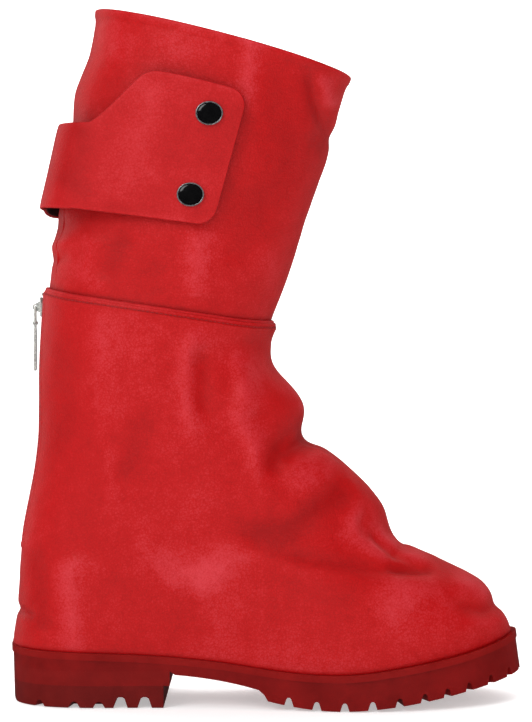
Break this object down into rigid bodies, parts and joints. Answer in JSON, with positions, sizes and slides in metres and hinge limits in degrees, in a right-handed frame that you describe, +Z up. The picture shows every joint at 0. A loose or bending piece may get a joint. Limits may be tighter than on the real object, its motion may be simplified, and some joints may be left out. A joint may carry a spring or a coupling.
{
  "type": "mid-calf boot",
  "caption": "Right mid-calf boot: tilted shaft over a slouching lower leg, curved back zip, wrap strap closed by press studs, and a lugged rubber sole with a low block heel.",
  "frame": {"origin": "on the ground, under the middle of the boot's bounding box", "axes": "+X from the heel to the toe, +Y to the inner (medial) side of the foot, +Z up along the shaft"},
  "size_m": [0.2879, 0.1071, 0.3859],
  "materials": {
    "red_leather": "waxed smooth leather, satin sheen, pale pull-up marks on the folds",
    "strap_leather": "waxed smooth leather, raw cut edges",
    "piping_leather": "folded and stitched leather edge",
    "facing_leather": "smooth leather",
    "lining_leather": "suede-like lining, matt",
    "footbed_leather": "smooth insole leather",
    "sole_rubber": "moulded, semi-gloss, slightly translucent",
    "welt_rubber": "moulded, semi-gloss",
    "cork_filler": "pressed filler sheet",
    "fibre_board": "pressed fibre board",
    "stiffener": "formed stiffener sheet",
    "spring_steel": "plain",
    "nail_steel": "plain",
    "strap_lining": "black woven backing",
    "snap_enamel": "black enamelled cap with a bright rim",
    "snap_metal": "polished",
    "zip_tape": "woven tape",
    "zip_metal": "polished",
    "zip_chrome": "polished"
  },
  "bodies": {
    "boot": {"outsole": "sole_rubber", "heel_block": "sole_rubber", "heel_top_lift": "sole_rubber", "welt": "welt_rubber", "midsole": "cork_filler", "shank": "spring_steel", "heel_nails": "nail_steel", "insole_board": "fibre_board", "footbed": "footbed_leather", "leg_lateral": "red_leather", "leg_medial": "red_leather", "leg_lining": "lining_leather", "heel_counter": "stiffener", "toe_puff": "stiffener", "shaft_lateral": "red_leather", "shaft_medial": "red_leather", "top_facing": "facing_leather", "shaft_lining": "lining_leather", "seam_piping": "piping_leather", "strap_band": "strap_leather", "strap_band_lining": "strap_lining", "snap_studs": "snap_metal", "snap_posts": "snap_metal", "zip_tape_lateral": "zip_tape", "zip_tape_medial": "zip_tape", "zip_teeth_lateral": "zip_metal", "zip_teeth_medial": "zip_metal", "zip_top_stops": "zip_metal", "zip_bottom_stop": "zip_metal", "zip_guard": "lining_leather"},
    "strap_tab": {"strap_tab": "strap_leather", "strap_tab_lining": "strap_lining", "snap_caps": "snap_enamel", "snap_sockets": "snap_metal"},
    "zip_slider": {"zip_slider": "zip_chrome"},
    "zip_link": {"zip_link": "zip_chrome"},
    "zip_puller": {"zip_puller": "zip_chrome"}
  },
  "joints": [
    {"name": "strap_opening", "type": "hinge", "parent": "boot", "child": "strap_tab", "pos_m": [-0.10371, -0.0452, 0.25851], "axis": [-0.228, 0.0519, -0.9723], "range_deg": [0, 110]},
    {"name": "zip_travel", "type": "hinge", "parent": "boot", "child": "zip_slider", "pos_m": [-0.6879, 0, 0.2009], "axis": [0, 1, 0], "range_deg": [0, 12.47]},
    {"name": "link_swing", "type": "hinge", "parent": "zip_slider", "child": "zip_link", "pos_m": [-0.13057, 0, 0.22062], "axis": [0, 1, 0], "range_deg": [0, 120]},
    {"name": "puller_swing", "type": "hinge", "parent": "zip_link", "child": "zip_puller", "pos_m": [-0.13057, 0, 0.21162], "axis": [0, 1, 0], "range_deg": [0, 45]}
  ]
}
